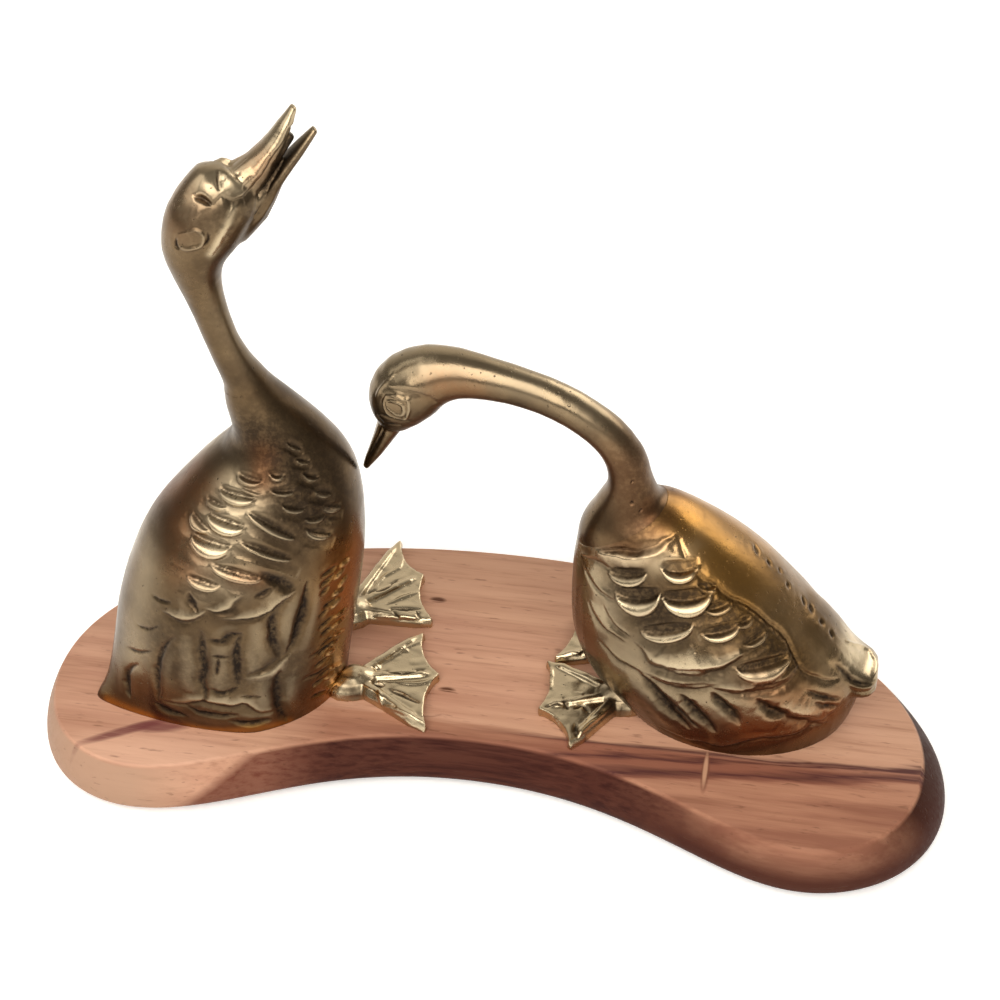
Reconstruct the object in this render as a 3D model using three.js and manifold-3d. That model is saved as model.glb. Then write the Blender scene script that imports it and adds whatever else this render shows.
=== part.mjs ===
// A pair of cast brass geese on a kidney-shaped wooden plinth.
// One goose stretches up and calls, the other bows its neck towards it.
// Millimetres, +Z up. The origin is the centre of the underside, and +X runs along the plinth
// from the calling goose to the bowing goose.

import * as THREE from 'three';
import { mergeVertices } from 'three/addons/utils/BufferGeometryUtils.js';
import Module from 'manifold-3d';

const wasm = await Module();
wasm.setup();

// Plinth
const boardLength = 258; // end to end along the crisp top edge
const boardDepth = 109; // back of the arc to the front of the lobes
const boardThickness = 16;
const lobeSpacing = 194; // between the two lobes of the front edge
const waistDepth = 26.5; // how far the front edge is drawn in between the lobes
const endSetback = 17; // widest points of the two ends, in front of the middle
const sideFlare = 3.5; // the side slopes out by this much on its way down
const rightEndFlare = 4.5; // extra slope on the hand-shaped right end
const topEdgeRound = 0.8;
const bottomEdgeRound = 3;
const feltThickness = 1.5;
const feltInset = 5; // felt edge to the edge of the underside

// Geese on the plinth
const pairShift = 1; // midway between the two geese, to the right of the middle of the board
const billGap = 1.3; // tip of the bowing goose's bill to the other's breast, along the plinth

// Fits
const jointGap = 0.3; // brazed and glued seams
const holeClearance = 0.3; // on the radius
const castWall = 3;

// Necks
const tenonRadius = 3.5;
const tenonLength = 13;

// Feet
const toeHeight = 4.8;
const toeWidth = 4.2;
const webThickness = 3.2;
const webScallop = 0.2; // how far the web's edge is drawn in between two toes, as a share of their length
const heelLength = 18;
const heelWidth = 13;
const heelHeight = 6.4;

// Fixings under each goose
const bridgeWidth = 14;
const bridgeThickness = 4;
const bridgeHeight = 6; // underside of the bridge above the plinth
const studRadius = 2.5;
const studProud = 1; // stud past the bridge and past the nut
const washerRadius = 7.5;
const washerThickness = 1.2;
const nutAcrossFlats = 8;
const nutHeight = 4;
const pocketRadius = 9;
const pocketDepth = 8;

// The calling goose: sections of the body from the rim up. tail and breast are the two ends of a
// section on the goose's middle plane, mid is where it is widest, and form is the superellipse
// power of the tail half: 2 is an ellipse, less is pointed. across is the goose's place over the
// depth of the plinth.
const callingGoose = {
  name: 'calling_goose',
  across: -11.6,
  heading: 24.5,
  bridgeX: 4,
  cavityTop: 90,
  body: [
    { z: 0, tail: -42.4, breast: 33.4, mid: 1, half: 27, form: 1.25 },
    { z: 6, tail: -38.6, breast: 34.4, mid: 1.4, half: 27.4, form: 1.4 },
    { z: 20, tail: -34.4, breast: 36.6, mid: 2.4, half: 27.6, form: 1.7 },
    { z: 36, tail: -30.8, breast: 39.4, mid: 4, half: 27.2, form: 1.9 },
    { z: 50, tail: -25.6, breast: 41.2, mid: 6, half: 26, form: 2 },
    { z: 62, tail: -19.4, breast: 41.6, mid: 9, half: 23.6, form: 2 },
    { z: 72, tail: -10.4, breast: 40.6, mid: 12, half: 20.2, form: 2 },
    { z: 80, tail: -2, breast: 38, mid: 14.6, half: 16.6, form: 2 },
    { z: 86, tail: 5, breast: 34.6, mid: 17, half: 13.4, form: 2 },
    { z: 91, tail: 6.6, breast: 30.8, mid: 17.4, half: 11.2, form: 2 },
    { z: 97, tail: 6, breast: 26, mid: 15.8, half: 9.4, form: 2 },
    { z: 104, tail: 4.8, breast: 20.2, mid: 12.4, half: 7.6, form: 2 },
    { z: 112, tail: 3.4, breast: 14.4, mid: 8.9, half: 5.9, form: 2 },
  ],
  seat: { x: 11.2, z: 107, tilt: -20 },
  // Neck and head along their middle line: radii towards the nape and crown, the throat and the sides.
  neck: [
    { x: 13.4, z: 102, up: 7.6, down: 7.6, side: 8 },
    { x: 11.2, z: 107, up: 6.1, down: 6.1, side: 6.8 },
    { x: 8.9, z: 112.6, up: 5.2, down: 5, side: 5.8 },
    { x: 6.2, z: 120, up: 4.5, down: 4.6, side: 5 },
    { x: 4, z: 128.4, up: 4.5, down: 4.6, side: 4.8 },
    { x: 2.2, z: 136.5, up: 4.9, down: 5.2, side: 5.1 },
    { x: 0.9, z: 144, up: 6.2, down: 6.6, side: 6.3 },
    { x: 1.2, z: 151, up: 8.6, down: 8.6, side: 8.2 },
    { x: 3.8, z: 157.4, up: 10.3, down: 10, side: 9.6 },
    { x: 8, z: 162.6, up: 11, down: 9.6, side: 9.4 },
    { x: 12, z: 166.4, up: 10.8, down: 8, side: 8.2 },
    { x: 14.8, z: 169.2, up: 7.2, down: 5, side: 5.6 },
  ],
  bills: {
    upper: [
      { x: 9.4, z: 164.4, up: 5, down: 4.4, side: 5.8 },
      { x: 15.6, z: 169.6, up: 4.4, down: 4.2, side: 5.2 },
      { x: 21.8, z: 176.6, up: 2.3, down: 2.8, side: 4 },
      { x: 26.2, z: 183, up: 1.5, down: 1.8, side: 2.8 },
      { x: 29.2, z: 188, up: 0.6, down: 0.7, side: 1.2 },
    ],
    lower: [
      { x: 10, z: 156.6, up: 4, down: 6, side: 6 },
      { x: 17, z: 162.4, up: 2.6, down: 5.2, side: 5 },
      { x: 23.6, z: 169.4, up: 1.5, down: 2, side: 4 },
      { x: 29.6, z: 176, up: 1.1, down: 1.3, side: 2.8 },
      { x: 34.2, z: 181, up: 0.6, down: 0.6, side: 1.2 },
    ],
    tongue: [
      { x: 11, z: 162, up: 3, down: 3, side: 3.6 },
      { x: 18.6, z: 169.8, up: 2.2, down: 2.4, side: 2.6 },
      { x: 24.4, z: 176.4, up: 1.7, down: 1.7, side: 1.9 },
      { x: 28.2, z: 180.4, up: 0.8, down: 0.8, side: 1 },
    ],
  },
  feet: [
    {
      side: 'right',
      at: [33, -16],
      toes: [
        { angle: -56, length: 28.8 },
        { angle: -10, length: 25.4 },
        { angle: 30, length: 28.6 },
      ],
    },
    {
      side: 'left',
      at: [37.5, 14],
      toes: [
        { angle: -24, length: 26.5 },
        { angle: 20.5, length: 28.3 },
        { angle: 50.5, length: 36.5 },
      ],
    },
  ],
};

const bowingGoose = {
  name: 'bowing_goose',
  across: 4.5,
  heading: 180,
  bridgeX: 4,
  cavityTop: 60,
  body: [
    { z: 0, tail: -27.6, breast: 36, mid: 4, half: 26, form: 2 },
    { z: 8, tail: -30.4, breast: 44, mid: 5, half: 26.6, form: 2 },
    { z: 15, tail: -30.6, breast: 50, mid: 6, half: 27.2, form: 2 },
    { z: 24, tail: -25, breast: 53.6, mid: 8, half: 26.8, form: 2 },
    { z: 33, tail: -18, breast: 54.8, mid: 11, half: 25.4, form: 2 },
    { z: 42, tail: -10.4, breast: 54.8, mid: 15, half: 22.8, form: 2 },
    { z: 50, tail: -3.2, breast: 54.4, mid: 19, half: 19.8, form: 2 },
    { z: 57, tail: 4.6, breast: 53.2, mid: 24, half: 16.8, form: 2 },
    { z: 63, tail: 13, breast: 51.2, mid: 29, half: 13.6, form: 2 },
    { z: 67, tail: 19.4, breast: 48.8, mid: 32, half: 11, form: 2 },
    { z: 71, tail: 27.4, breast: 45.4, mid: 35.6, half: 7.4, form: 2 },
  ],
  // The flat band of the back, from the blunt tip of the tail up to where it sinks into the body.
  tail: [
    { x: -35.4, z: 15.4, up: 1.2, down: 1.6, side: 5 },
    { x: -33.6, z: 15.4, up: 2.4, down: 3.4, side: 8 },
    { x: -30, z: 16.2, up: 3.2, down: 4.4, side: 9.8 },
    { x: -25, z: 20, up: 4, down: 5, side: 10.6 },
    { x: -20.4, z: 25.4, up: 4.4, down: 6, side: 11.2 },
    { x: -12, z: 33.4, up: 5.2, down: 7, side: 11.6 },
    { x: -2, z: 42, up: 4, down: 8, side: 11 },
  ],
  seat: { x: 40, z: 64, tilt: 33 },
  neck: [
    { x: 36.6, z: 54, up: 17, down: 17.8, side: 14.6 },
    { x: 38.4, z: 62, up: 13.4, down: 15.2, side: 12.5 },
    { x: 39, z: 69, up: 10.4, down: 10.2, side: 9.2 },
    { x: 39.4, z: 76.4, up: 6.4, down: 6.4, side: 6.6 },
    { x: 41.1, z: 84.2, up: 5.8, down: 5.8, side: 5.9 },
    { x: 45.5, z: 91.2, up: 5.4, down: 5.4, side: 5.5 },
    { x: 51.9, z: 96.8, up: 5.2, down: 5.2, side: 5.3 },
    { x: 60.2, z: 101.6, up: 5.1, down: 5.1, side: 5.2 },
    { x: 69.5, z: 104.9, up: 5.2, down: 5.2, side: 5.2 },
    { x: 79.7, z: 107, up: 5.8, down: 5.8, side: 5.7 },
    { x: 89, z: 107.6, up: 7.2, down: 7.2, side: 6.9 },
    { x: 96.4, z: 105.4, up: 9, down: 9, side: 8.6 },
    { x: 101.6, z: 100.8, up: 10, down: 9.6, side: 9.4 },
    { x: 104.6, z: 95, up: 8.6, down: 8, side: 8.4 },
    { x: 106.2, z: 90, up: 5, down: 4.8, side: 5.6 },
  ],
  bills: {
    closed: [
      { x: 105.6, z: 91.6, up: 4.2, down: 4, side: 4.8 },
      { x: 108.2, z: 85.2, up: 3.2, down: 2.6, side: 4 },
      { x: 111, z: 79, up: 2.2, down: 1.7, side: 3 },
      { x: 113.2, z: 74.8, up: 1.4, down: 1.1, side: 2 },
      { x: 114.8, z: 71.6, up: 0.6, down: 0.6, side: 0.9 },
    ],
  },
  feet: [
    {
      side: 'left',
      at: [38, 10.4],
      toes: [
        { angle: -24.5, length: 26.2 },
        { angle: 22, length: 25.2 },
        { angle: 60, length: 25 },
      ],
    },
    {
      side: 'right',
      at: [33, -12],
      toes: [
        { angle: -66, length: 25 },
        { angle: -26, length: 26 },
        { angle: 20, length: 28.3 },
      ],
    },
  ],
};

// The bowing goose's bill reaches up to the calling goose's breast.
const billReach = Math.max(...bowingGoose.bills.closed.map(({ x }) => x));
const breast = Math.max(...callingGoose.body.map((section) => section.breast));
const breastReach = breast * Math.cos(THREE.MathUtils.degToRad(callingGoose.heading));
const gooseSpacing = breastReach + billGap + billReach;
callingGoose.at = [pairShift - gooseSpacing / 2, callingGoose.across];
bowingGoose.at = [pairShift + gooseSpacing / 2, bowingGoose.across];

// Faceting
const outlineSteps = 88;
const bodyFacets = 40;
const bodyRings = 24;
const cavityFacets = 24;
const cavityRings = 8;
const neckFacets = 20;
const neckRings = 30;
const billFacets = 12;
const billRings = 8;
const tailRings = 12;
const holeFacets = 20;
const heelFacets = 16;

const materials = {
  brass: new THREE.MeshStandardMaterial({ color: '#8d6e3f', roughness: 0.3, metalness: 1 }),
  wood: new THREE.MeshStandardMaterial({ color: '#b98561', roughness: 0.6, metalness: 0 }),
  felt: new THREE.MeshStandardMaterial({ color: '#2f4a35', roughness: 1, metalness: 0 }),
  steel: new THREE.MeshStandardMaterial({ color: '#a6a8aa', roughness: 0.4, metalness: 1 }),
};

// Solids and meshes

function toSolid(geometry) {
  const bare = geometry.clone();
  bare.deleteAttribute('normal');
  bare.deleteAttribute('uv');
  const merged = mergeVertices(bare, 1e-4);
  return new wasm.Manifold(
    new wasm.Mesh({
      numProp: 3,
      vertProperties: merged.attributes.position.array,
      triVerts: new Uint32Array(merged.index.array),
    }),
  );
}

function toGeometry(solid) {
  const mesh = solid.getMesh();
  const geometry = new THREE.BufferGeometry();
  geometry.setAttribute('position', new THREE.BufferAttribute(mesh.vertProperties, mesh.numProp));
  geometry.setIndex(new THREE.BufferAttribute(mesh.triVerts, 1));
  return geometry;
}

function part(name, solid, material) {
  const mesh = new THREE.Mesh(toGeometry(solid), material);
  mesh.name = name;
  return mesh;
}

// A closed skin over a stack of rings of equal length, with a flat fan over each end.
function skin(rings) {
  const count = rings[0].length;
  const points = rings.flat();
  const ends = [rings[0], rings[rings.length - 1]].map((ring) =>
    ring.reduce((sum, p) => sum.add(p), new THREE.Vector3()).divideScalar(count),
  );
  const startCentre = points.push(...ends) - 2;
  const faces = [];
  for (let j = 0; j < count; j++) {
    const next = (j + 1) % count;
    for (let i = 0; i < rings.length - 1; i++) {
      const a = i * count + j;
      const b = i * count + next;
      faces.push(a, b, b + count, a, b + count, a + count);
    }
    const last = (rings.length - 1) * count;
    faces.push(startCentre, next, j, startCentre + 1, last + j, last + next);
  }
  const geometry = new THREE.BufferGeometry().setFromPoints(points);
  geometry.setIndex(faces);
  return toSolid(geometry);
}

// A round bar standing on z = bottom.
function roundBar(radius, bottom, top, facets = holeFacets) {
  const bar = new THREE.CylinderGeometry(radius, radius, top - bottom, facets);
  bar.rotateX(Math.PI / 2);
  bar.translate(0, 0, (top + bottom) / 2);
  return bar;
}

// Smooth value of every field of a list of stations at a place along it.
function stationsOver(stations, places) {
  const fields = Object.keys(stations[0]);
  const values = stations.flatMap((station) => fields.map((field) => station[field]));
  const spline = new THREE.CubicInterpolant(places, values, fields.length);
  return (place) => {
    const row = spline.evaluate(place);
    return Object.fromEntries(fields.map((field, i) => [field, row[i]]));
  };
}

function angles(count) {
  return Array.from({ length: count }, (_, i) => (i / count) * 2 * Math.PI);
}

const power = (value, exponent) => Math.sign(value) * Math.abs(value) ** exponent;

// Plinth

// One half of the top edge, from the middle of the waist round the right end to the middle of the back.
function halfOutline() {
  const end = boardLength / 2;
  const back = boardDepth / 2;
  const front = -boardDepth / 2;
  const lobe = lobeSpacing / 2;
  const corner = end - lobe;
  const waist = front + waistDepth;
  const reach = { waist: 0.52 * lobe, lobe: 0.26 * lobe, end: 0.58, endBack: 0.56, back: 0.62 * end };
  const path = new THREE.CurvePath();
  const point = (x, y) => new THREE.Vector2(x, y);
  path.add(new THREE.CubicBezierCurve(
    point(0, waist),
    point(reach.waist, waist),
    point(lobe - reach.lobe, front),
    point(lobe, front),
  ));
  path.add(new THREE.CubicBezierCurve(
    point(lobe, front),
    point(lobe + reach.end * corner, front),
    point(end, -endSetback - reach.end * (-endSetback - front)),
    point(end, -endSetback),
  ));
  path.add(new THREE.CubicBezierCurve(
    point(end, -endSetback),
    point(end, -endSetback + reach.endBack * (back + endSetback)),
    point(reach.back, back),
    point(0, back),
  ));
  return path;
}

// The whole top edge, anticlockwise, as points with the outward direction at each.
const topEdge = (() => {
  const half = halfOutline().getSpacedPoints(outlineSteps / 2);
  const mirrored = half.slice(1, -1).reverse().map((p) => new THREE.Vector2(-p.x, p.y));
  const loop = [...half, ...mirrored];
  return loop.map((p, i) => {
    const before = loop[(i + loop.length - 1) % loop.length];
    const after = loop[(i + 1) % loop.length];
    const along = after.clone().sub(before).normalize();
    return { p, out: new THREE.Vector2(along.y, -along.x) };
  });
})();

// The edge moved out by a distance that may change along it, at one height.
function edgeRing(z, offset) {
  return topEdge.map(({ p, out }) => {
    const distance = offset(out);
    return new THREE.Vector3(p.x + out.x * distance, p.y + out.y * distance, z);
  });
}

// Full slope of the side where it faces a given way: it is greatest on the right end.
function flareAt(out) {
  return sideFlare + rightEndFlare * Math.max(out.x, 0) ** 3;
}

const boardBottom = feltThickness;
const boardTop = boardBottom + boardThickness;

function boardBlank() {
  const side = boardThickness - topEdgeRound - bottomEdgeRound;
  const bulge = (share) => Math.sin((share * Math.PI) / 2);
  const rings = [];
  const roundSteps = 3;
  for (let i = 0; i <= roundSteps; i++) {
    const turn = ((i / roundSteps) * Math.PI) / 2;
    const inset = bottomEdgeRound * (1 - Math.sin(turn));
    const rise = bottomEdgeRound * (1 - Math.cos(turn));
    rings.push(edgeRing(boardBottom + rise, (out) => flareAt(out) - inset));
  }
  const sideSteps = 3;
  for (let i = 1; i <= sideSteps; i++) {
    const share = i / sideSteps;
    rings.push(edgeRing(boardBottom + bottomEdgeRound + side * share, (out) => flareAt(out) * bulge(1 - share)));
  }
  rings.push(edgeRing(boardTop, () => -topEdgeRound));
  return skin(rings);
}

function baseFelt() {
  const outline = (out) => flareAt(out) - bottomEdgeRound - feltInset;
  return skin([edgeRing(0, outline), edgeRing(feltThickness, outline)]);
}

// Where a goose's stud passes through the plinth.
function studPlace(goose) {
  const turn = THREE.MathUtils.degToRad(goose.heading);
  return new THREE.Vector2(goose.bridgeX, 0)
    .rotateAround(new THREE.Vector2(), turn)
    .add(new THREE.Vector2(...goose.at));
}

function baseBoard(geese) {
  return geese.reduce((board, goose) => {
    const { x, y } = studPlace(goose);
    const pocketTop = boardBottom + pocketDepth;
    const hole = roundBar(studRadius + holeClearance, boardBottom - 1, boardTop + 1).translate(x, y, 0);
    const pocket = roundBar(pocketRadius, boardBottom - 1, pocketTop).translate(x, y, 0);
    return board.subtract(toSolid(hole)).subtract(toSolid(pocket));
  }, boardBlank());
}

// Goose bodies

// Level rings of a body, drawn in by inset, from one height to another.
function bodySkin(goose, { inset = 0, from, to, facets, rings }) {
  const section = stationsOver(goose.body, goose.body.map((station) => station.z));
  const stack = [];
  for (let i = 0; i <= rings; i++) {
    const z = from + ((to - from) * i) / rings;
    const { tail, breast, mid, half, form } = section(Math.max(z, 0));
    const ring = angles(facets).map((angle) => {
      const front = Math.cos(angle) >= 0;
      const reach = (front ? breast - mid : mid - tail) - inset;
      const bend = front ? 1 : 2 / form;
      const x = mid + reach * power(Math.cos(angle), bend);
      const y = (half - inset) * power(Math.sin(angle), bend);
      return new THREE.Vector3(x, y, z);
    });
    stack.push(ring);
  }
  return skin(stack);
}

function bodyOuter(goose, grow = 0) {
  const top = goose.body[goose.body.length - 1].z;
  const shell = bodySkin(goose, { inset: -grow, from: 0, to: top, facets: bodyFacets, rings: bodyRings });
  return goose.tail ? shell.add(limb(goose.tail, neckFacets, tailRings)) : shell;
}

function bodyCavity(goose, inset) {
  return bodySkin(goose, { inset, from: -1, to: goose.cavityTop, facets: cavityFacets, rings: cavityRings });
}

// Everything above the plane that a neck is seated on, raised by lift.
function aboveSeat(goose, lift = 0) {
  const { x, z, tilt } = goose.seat;
  const size = 4 * boardLength;
  const block = new THREE.BoxGeometry(size, size, size);
  block.translate(0, 0, size / 2 + lift);
  block.rotateY(THREE.MathUtils.degToRad(tilt));
  block.translate(x, 0, z);
  return toSolid(block);
}

// The tenon of a neck, square to its seat.
function seatTenon(goose, radius, length, rise) {
  const { x, z, tilt } = goose.seat;
  const tenon = roundBar(radius, -length, rise);
  tenon.rotateY(THREE.MathUtils.degToRad(tilt));
  tenon.translate(x, 0, z);
  return toSolid(tenon);
}

function gooseBody(goose) {
  const socket = seatTenon(goose, tenonRadius + holeClearance, tenonLength + jointGap, 1);
  return bodyOuter(goose).subtract(aboveSeat(goose)).subtract(bodyCavity(goose, castWall)).subtract(socket);
}

// Necks, bills and tails

// A solid along a curve in the goose's middle plane, through stations that give its radii.
function limb(stations, facets, rings) {
  const line = new THREE.CatmullRomCurve3(stations.map(({ x, z }) => new THREE.Vector3(x, 0, z)));
  const last = stations.length - 1;
  const radii = stationsOver(stations, stations.map((_, i) => i / last));
  const across = new THREE.Vector3(0, 1, 0);
  const stack = [];
  for (let i = 0; i <= rings; i++) {
    const share = i / rings;
    const centre = line.getPoint(share);
    const upward = line.getTangent(share).cross(across);
    const { up, down, side } = radii(share);
    const ring = angles(facets).map((angle) => {
      const rise = Math.cos(angle) * (Math.cos(angle) > 0 ? down : up);
      return centre
        .clone()
        .addScaledVector(upward, -rise)
        .addScaledVector(across, Math.sin(angle) * side);
    });
    stack.push(ring);
  }
  return skin(stack);
}

function gooseNeck(goose) {
  const tenon = seatTenon(goose, tenonRadius, tenonLength, 1);
  const neck = Object.values(goose.bills).reduce(
    (head, bill) => head.add(limb(bill, billFacets, billRings)),
    limb(goose.neck, neckFacets, neckRings),
  );
  return neck.intersect(aboveSeat(goose, jointGap)).add(tenon);
}

// Feet

// A tapering toe with a rounded ridge, lying along +X on z = 0. Each row of stations is a place along
// the toe, as a share of its length, and the width and height there, as shares of the full ones.
function toe(length) {
  const stations = [
    { along: 0, wide: 1.3, tall: 1 },
    { along: 0.45, wide: 1, tall: 0.92 },
    { along: 0.8, wide: 0.9, tall: 0.84 },
    { along: 1, wide: 0.35, tall: 0.5 },
  ];
  return skin(stations.map(({ along, wide, tall }) => {
    const half = (wide * toeWidth) / 2;
    const top = tall * toeHeight;
    const shoulder = 0.5 * top;
    const ridge = 0.4 * half;
    return [[half, 0], [half, shoulder], [ridge, top], [-ridge, top], [-half, shoulder], [-half, 0]]
      .map(([y, z]) => new THREE.Vector3(along * length, y, z));
  }));
}

// The web between the toes, with its front edge drawn in between their tips.
function footWeb(toes) {
  const tips = toes.map(({ angle, length }) =>
    new THREE.Vector2(length, 0).rotateAround(new THREE.Vector2(), THREE.MathUtils.degToRad(angle)),
  );
  const web = new THREE.Shape();
  tips.forEach((tip, i) => {
    if (i > 0) {
      const dip = tips[i - 1].clone().add(tip).multiplyScalar((1 - webScallop) / 2);
      web.quadraticCurveTo(dip.x, dip.y, tip.x, tip.y);
    } else web.lineTo(tip.x, tip.y);
  });
  web.closePath();
  const plate = new THREE.ExtrudeGeometry(web, { depth: webThickness, bevelEnabled: false, curveSegments: 6 });
  return toSolid(plate);
}

// The swelling that joins a foot to the body: the upper half of an ellipsoid.
function heel() {
  const quarter = Math.PI / 2;
  const profile = new THREE.EllipseCurve(0, 0, 1, 1, 0, quarter).getPoints(4);
  const dome = new THREE.LatheGeometry([new THREE.Vector2(0, 0), ...profile], heelFacets).rotateX(quarter);
  return toSolid(dome.scale(heelLength / 2, heelWidth / 2, heelHeight));
}

function gooseFoot(goose, { at, toes }) {
  const foot = toes.reduce(
    (sum, { angle, length }) => sum.add(toe(length).rotate([0, 0, angle])),
    footWeb(toes).add(heel()),
  );
  return foot.translate([...at, 0]).subtract(bodyOuter(goose, jointGap));
}

// Fixings

function mountingBridge(goose) {
  const bar = new THREE.BoxGeometry(bridgeWidth, boardDepth, bridgeThickness);
  bar.translate(goose.bridgeX, 0, bridgeHeight + bridgeThickness / 2);
  const hole = roundBar(studRadius + holeClearance, bridgeHeight - 1, bridgeHeight + bridgeThickness + 1);
  hole.translate(goose.bridgeX, 0, 0);
  return toSolid(bar).intersect(bodyCavity(goose, castWall + jointGap)).subtract(toSolid(hole));
}

const pocketCeiling = pocketDepth - boardThickness; // below the top of the plinth
const nutTop = pocketCeiling - washerThickness;

function mountingStud(goose) {
  const chamfer = 0.6;
  const bottom = nutTop - nutHeight - studProud;
  const top = bridgeHeight + bridgeThickness + studProud;
  const profile = [
    [0, bottom],
    [studRadius - chamfer, bottom],
    [studRadius, bottom + chamfer],
    [studRadius, top - chamfer],
    [studRadius - chamfer, top],
    [0, top],
  ].map(([r, y]) => new THREE.Vector2(r, y));
  const stud = new THREE.LatheGeometry(profile, holeFacets).rotateX(Math.PI / 2);
  return toSolid(stud.translate(goose.bridgeX, 0, 0));
}

function ringOf(outer, bottom, top, goose) {
  const hole = roundBar(studRadius + holeClearance, bottom - 1, top + 1);
  return outer.subtract(toSolid(hole)).translate([goose.bridgeX, 0, 0]);
}

function washer(goose) {
  const disc = toSolid(roundBar(washerRadius, nutTop, pocketCeiling));
  return ringOf(disc, nutTop, pocketCeiling, goose);
}

function nut(goose) {
  const bottom = nutTop - nutHeight;
  const hexSides = 6;
  const hex = toSolid(roundBar(nutAcrossFlats / Math.sqrt(3), bottom, nutTop, hexSides));
  return ringOf(hex, bottom, nutTop, goose);
}

// Assembly

function gooseGroup(goose) {
  const group = new THREE.Group();
  group.position.set(...goose.at, boardTop);
  group.rotation.z = THREE.MathUtils.degToRad(goose.heading);
  const { name } = goose;
  group.add(part(`${name}_body`, gooseBody(goose), materials.brass));
  group.add(part(`${name}_neck_and_head`, gooseNeck(goose), materials.brass));
  for (const foot of goose.feet) {
    group.add(part(`${name}_${foot.side}_foot`, gooseFoot(goose, foot), materials.brass));
  }
  group.add(part(`${name}_mounting_bridge`, mountingBridge(goose), materials.brass));
  group.add(part(`${name}_mounting_stud`, mountingStud(goose), materials.steel));
  group.add(part(`${name}_washer`, washer(goose), materials.steel));
  group.add(part(`${name}_nut`, nut(goose), materials.steel));
  return group;
}

const geese = [callingGoose, bowingGoose];
const figurine = new THREE.Group();
const board = part('base_board', baseBoard(geese), materials.wood);
figurine.add(board, part('base_felt', baseFelt(), materials.felt), ...geese.map(gooseGroup));

// The sloping right end moves the middle of the underside, so the whole figurine is centred again.
const middle = new THREE.Box3().setFromObject(board).getCenter(new THREE.Vector3());
for (const piece of figurine.children) {
  piece.position.x -= middle.x;
  piece.position.y -= middle.y;
}

export default figurine;
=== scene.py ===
import bpy
import math
import numpy as np
from mathutils import Matrix, Vector, noise as waves
from mathutils.bvhtree import BVHTree


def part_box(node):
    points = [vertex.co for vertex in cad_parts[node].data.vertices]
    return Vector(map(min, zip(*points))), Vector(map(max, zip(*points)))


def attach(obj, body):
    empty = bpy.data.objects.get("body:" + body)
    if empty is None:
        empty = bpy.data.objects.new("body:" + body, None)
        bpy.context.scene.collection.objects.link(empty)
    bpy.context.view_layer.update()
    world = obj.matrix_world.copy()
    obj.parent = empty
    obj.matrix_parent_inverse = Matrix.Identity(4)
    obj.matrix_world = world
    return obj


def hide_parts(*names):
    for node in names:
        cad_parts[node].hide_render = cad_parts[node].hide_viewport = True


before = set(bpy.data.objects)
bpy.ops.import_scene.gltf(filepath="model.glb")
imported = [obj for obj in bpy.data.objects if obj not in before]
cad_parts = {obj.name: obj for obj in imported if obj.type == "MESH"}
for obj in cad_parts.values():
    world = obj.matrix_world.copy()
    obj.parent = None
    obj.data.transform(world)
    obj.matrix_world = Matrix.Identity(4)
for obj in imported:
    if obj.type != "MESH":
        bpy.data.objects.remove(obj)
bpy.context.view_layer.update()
mm = 0.001
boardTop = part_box("base_board")[1].z
print("stage: frame loaded")

# camera, fitted to the photograph
shot = {"targetMm": (-4.6, 30, 60), "azimuth": 9.5, "elevation": 40, "distanceMm": 650,
        "lensMm": 78.4, "sensorMm": 36, "imagePx": 1000}


# the way from the part towards an azimuth and an elevation in degrees
def towards(azimuth, elevation):
    turn, lift = math.radians(azimuth), math.radians(elevation)
    return Vector((math.sin(turn) * math.cos(lift), -math.cos(turn) * math.cos(lift), math.sin(lift)))


backward = towards(shot["azimuth"], shot["elevation"])
rightward = towards(shot["azimuth"] + 90, 0)
upward = backward.cross(rightward)
eye = (Vector(shot["targetMm"]) + backward * shot["distanceMm"]) * mm
bpy.ops.object.camera_add(location=eye, rotation=(-backward).to_track_quat("-Z", "Y").to_euler())
camera = bpy.context.object
camera.data.lens = shot["lensMm"]
camera.data.sensor_width = shot["sensorMm"]
camera.data.clip_start = 0.01
camera.data.clip_end = 20
bpy.context.scene.camera = camera


# direction from the eye through a pixel of the photograph
def pixelDirection(u, v):
    focal = shot["lensMm"] / shot["sensorMm"] * shot["imagePx"]
    middle = shot["imagePx"] / 2
    return (rightward * (u - middle) / focal + upward * (middle - v) / focal - backward).normalized()


# modelling helpers
def only(*objs):
    bpy.ops.object.select_all(action="DESELECT")
    for o in objs:
        o.select_set(True)
    bpy.context.view_layer.objects.active = objs[0]


def edit(obj):
    only(obj)
    bpy.ops.object.mode_set(mode="EDIT")
    bpy.ops.mesh.select_mode(type="VERT")
    bpy.ops.mesh.select_all(action="SELECT")


def done():
    bpy.ops.object.mode_set(mode="OBJECT")


# an operator on the whole of a mesh
def onMesh(obj, operator, **settings):
    edit(obj)
    operator(**settings)
    done()


def apply(obj, kind, **settings):
    only(obj)
    modifier = obj.modifiers.new(kind, kind)
    for key, value in settings.items():
        setattr(modifier, key, value)
    bpy.ops.object.modifier_apply(modifier=modifier.name)


def copyOf(node):
    obj = bpy.data.objects.new("copy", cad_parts[node].data.copy())
    obj.data.materials.clear()
    bpy.context.collection.objects.link(obj)
    onMesh(obj, bpy.ops.mesh.remove_doubles, threshold=0.005 * mm)
    return obj


def moved(obj, offset):
    only(obj)
    bpy.ops.object.duplicate()
    bpy.ops.transform.translate(value=offset)
    bpy.ops.object.transform_apply(location=True, rotation=False, scale=False)
    return bpy.context.object


def joined(first, *others):
    only(first, *others)
    bpy.ops.object.join()
    return first


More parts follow.
